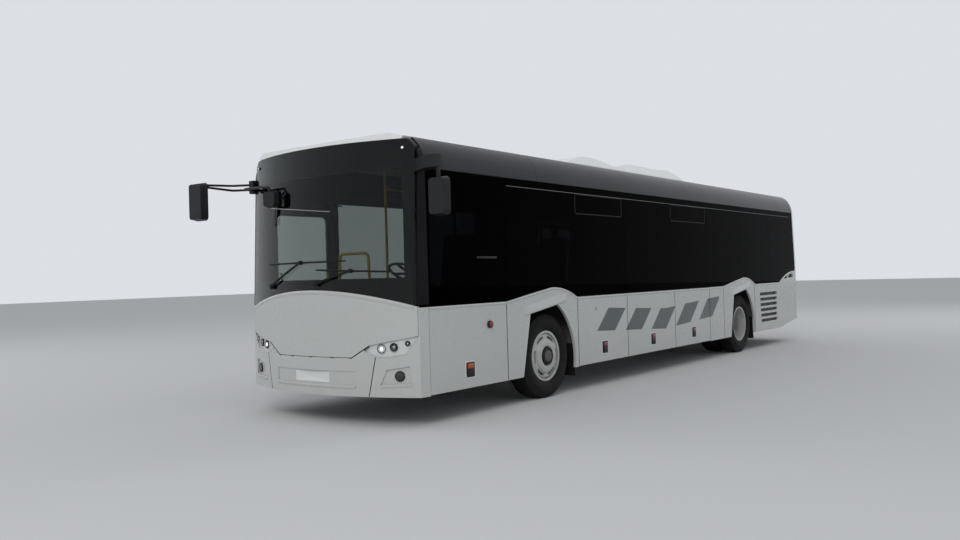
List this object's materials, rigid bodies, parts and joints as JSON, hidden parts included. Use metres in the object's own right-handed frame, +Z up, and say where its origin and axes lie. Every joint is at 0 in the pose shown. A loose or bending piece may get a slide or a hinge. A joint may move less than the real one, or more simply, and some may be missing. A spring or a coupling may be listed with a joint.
{
  "type": "intercity bus",
  "caption": "Two-axle intercity bus with a hollow body, opening luggage flaps and doors, steered front wheels and twin rear wheels.",
  "frame": {"origin": "on the road, midway between the foremost mirror and the tail, on the bus's centre plane", "axes": "+X forward along the bus, +Y to the bus's left, +Z up"},
  "size_m": [12.23, 3.47, 3.1651],
  "materials": {
    "body_white": "gloss",
    "body_black": "gloss",
    "dark_glass": "gloss",
    "frame_steel": "satin",
    "wheel_white": "gloss",
    "tyre": "matte",
    "black_plastic": "matte",
    "floor_covering": "matte",
    "seat_fabric": "woven",
    "yellow_rail": "gloss",
    "lamp_housing": "gloss",
    "red_lamp": "gloss"
  },
  "bodies": {
    "body": {"skirts": "body_white", "roof_caps": "body_white", "roof": "body_white", "roof_unit": "body_white", "bumper_middle": "body_white", "bumper_corners": "body_white", "tail_fascia": "body_white", "roof_hatches": "body_white", "coves": "body_black", "posts_and_headers": "body_black", "front_frame": "body_black", "window_frames": "body_black", "side_windows": "dark_glass", "windscreen": "dark_glass", "rear_window": "dark_glass", "underframe": "frame_steel", "luggage_hold": "frame_steel", "front_axle": "frame_steel", "rear_axle": "frame_steel", "engine": "frame_steel", "wheel_housings": "frame_steel", "dashboard": "black_plastic", "steering_wheel": "black_plastic", "mirrors": "black_plastic", "wipers": "black_plastic", "floor": "floor_covering", "door_steps": "floor_covering", "seats": "seat_fabric", "handrails": "yellow_rail", "front_lamps": "lamp_housing", "tail_lamps": "red_lamp"},
    "left_knuckle": {"left_knuckle": "frame_steel"},
    "right_knuckle": {"right_knuckle": "frame_steel"},
    "front_wheel_left": {"front_rim_left": "wheel_white", "front_tyre_left": "tyre"},
    "front_wheel_right": {"front_rim_right": "wheel_white", "front_tyre_right": "tyre"},
    "rear_wheels_left": {"rear_rims_left": "wheel_white", "rear_tyres_left": "tyre"},
    "rear_wheels_right": {"rear_rims_right": "wheel_white", "rear_tyres_right": "tyre"},
    "bonnet": {"bonnet_flap": "body_white"},
    "engine_lid": {"engine_flap": "body_white"},
    "left_flap_1": {"left_flap_1": "body_white"},
    "left_flap_2": {"left_flap_2": "body_white"},
    "left_flap_3": {"left_flap_3": "body_white"},
    "right_flap": {"right_flap": "body_white"},
    "front_door_arm": {"front_door_arm": "frame_steel"},
    "front_door": {"front_door": "body_black", "front_door_pane": "dark_glass"},
    "middle_door_front_arm": {"middle_door_front_arm": "frame_steel"},
    "middle_door_front": {"middle_door_front": "body_black", "middle_door_front_pane": "dark_glass"},
    "middle_door_rear_arm": {"middle_door_rear_arm": "frame_steel"},
    "middle_door_rear": {"middle_door_rear": "body_black", "middle_door_rear_pane": "dark_glass"}
  },
  "joints": [
    {"name": "steer_left", "type": "hinge", "parent": "body", "child": "left_knuckle", "pos_m": [3.285, 0.93, 0.5], "axis": [0, 0, 1], "range_deg": [-45, 45]},
    {"name": "steer_right", "type": "hinge", "parent": "body", "child": "right_knuckle", "pos_m": [3.285, -0.93, 0.5], "axis": [0, 0, 1], "range_deg": [-45, 45]},
    {"name": "spin_front_left", "type": "hinge", "parent": "left_knuckle", "child": "front_wheel_left", "pos_m": [3.285, 1.09, 0.5], "axis": [0, 1, 0], "continuous": true},
    {"name": "spin_front_right", "type": "hinge", "parent": "right_knuckle", "child": "front_wheel_right", "pos_m": [3.285, -1.09, 0.5], "axis": [0, 1, 0], "continuous": true},
    {"name": "spin_rear_left", "type": "hinge", "parent": "body", "child": "rear_wheels_left", "pos_m": [-2.965, 1.09, 0.5], "axis": [0, 1, 0], "continuous": true},
    {"name": "spin_rear_right", "type": "hinge", "parent": "body", "child": "rear_wheels_right", "pos_m": [-2.965, -1.09, 0.5], "axis": [0, 1, 0], "continuous": true},
    {"name": "bonnet_hinge", "type": "hinge", "parent": "body", "child": "bonnet", "pos_m": [5.885, 0, 1.372], "axis": [0, -1, 0], "range_deg": [0, 70]},
    {"name": "engine_lid_hinge", "type": "hinge", "parent": "body", "child": "engine_lid", "pos_m": [-6.115, 0, 1.3], "axis": [0, 1, 0], "range_deg": [0, 80]},
    {"name": "left_flap_1_hinge", "type": "hinge", "parent": "body", "child": "left_flap_1", "pos_m": [0.559, 1.275, 1.176], "axis": [1, 0, 0], "range_deg": [0, 90]},
    {"name": "left_flap_2_hinge", "type": "hinge", "parent": "body", "child": "left_flap_2", "pos_m": [0.559, 1.275, 1.176], "axis": [1, 0, 0], "range_deg": [0, 90]},
    {"name": "left_flap_3_hinge", "type": "hinge", "parent": "body", "child": "left_flap_3", "pos_m": [0.559, 1.275, 1.176], "axis": [1, 0, 0], "range_deg": [0, 90]},
    {"name": "right_flap_hinge", "type": "hinge", "parent": "body", "child": "right_flap", "pos_m": [1.9765, -1.275, 1.176], "axis": [-1, 0, 0], "range_deg": [0, 90]},
    {"name": "front_door_arm_hinge", "type": "hinge", "parent": "body", "child": "front_door_arm", "pos_m": [4.455, -1.14, 1.2], "axis": [0, 0, -1], "range_deg": [0, 141]},
    {"name": "front_door_leaf_hinge", "type": "hinge", "parent": "front_door_arm", "child": "front_door", "pos_m": [4.785, -1.205, 1.2], "axis": [0, 0, -1], "range_deg": [-141, 0]},
    {"name": "middle_door_front_arm_hinge", "type": "hinge", "parent": "body", "child": "middle_door_front_arm", "pos_m": [-0.261, -1.14, 1.2], "axis": [0, 0, 1], "range_deg": [0, 141]},
    {"name": "middle_door_front_leaf_hinge", "type": "hinge", "parent": "middle_door_front_arm", "child": "middle_door_front", "pos_m": [-0.591, -1.205, 1.2], "axis": [0, 0, 1], "range_deg": [-141, 0]},
    {"name": "middle_door_rear_arm_hinge", "type": "hinge", "parent": "body", "child": "middle_door_rear_arm", "pos_m": [-1.442, -1.14, 1.2], "axis": [0, 0, -1], "range_deg": [0, 141]},
    {"name": "middle_door_rear_leaf_hinge", "type": "hinge", "parent": "middle_door_rear_arm", "child": "middle_door_rear", "pos_m": [-1.112, -1.205, 1.2], "axis": [0, 0, -1], "range_deg": [-141, 0]}
  ],
  "couplings": [
    {"joint": "steer_right", "follows": "steer_left", "ratio": 1},
    {"joint": "front_door_leaf_hinge", "follows": "front_door_arm_hinge", "ratio": -1},
    {"joint": "middle_door_front_leaf_hinge", "follows": "middle_door_front_arm_hinge", "ratio": -1},
    {"joint": "middle_door_rear_leaf_hinge", "follows": "middle_door_rear_arm_hinge", "ratio": -1}
  ]
}
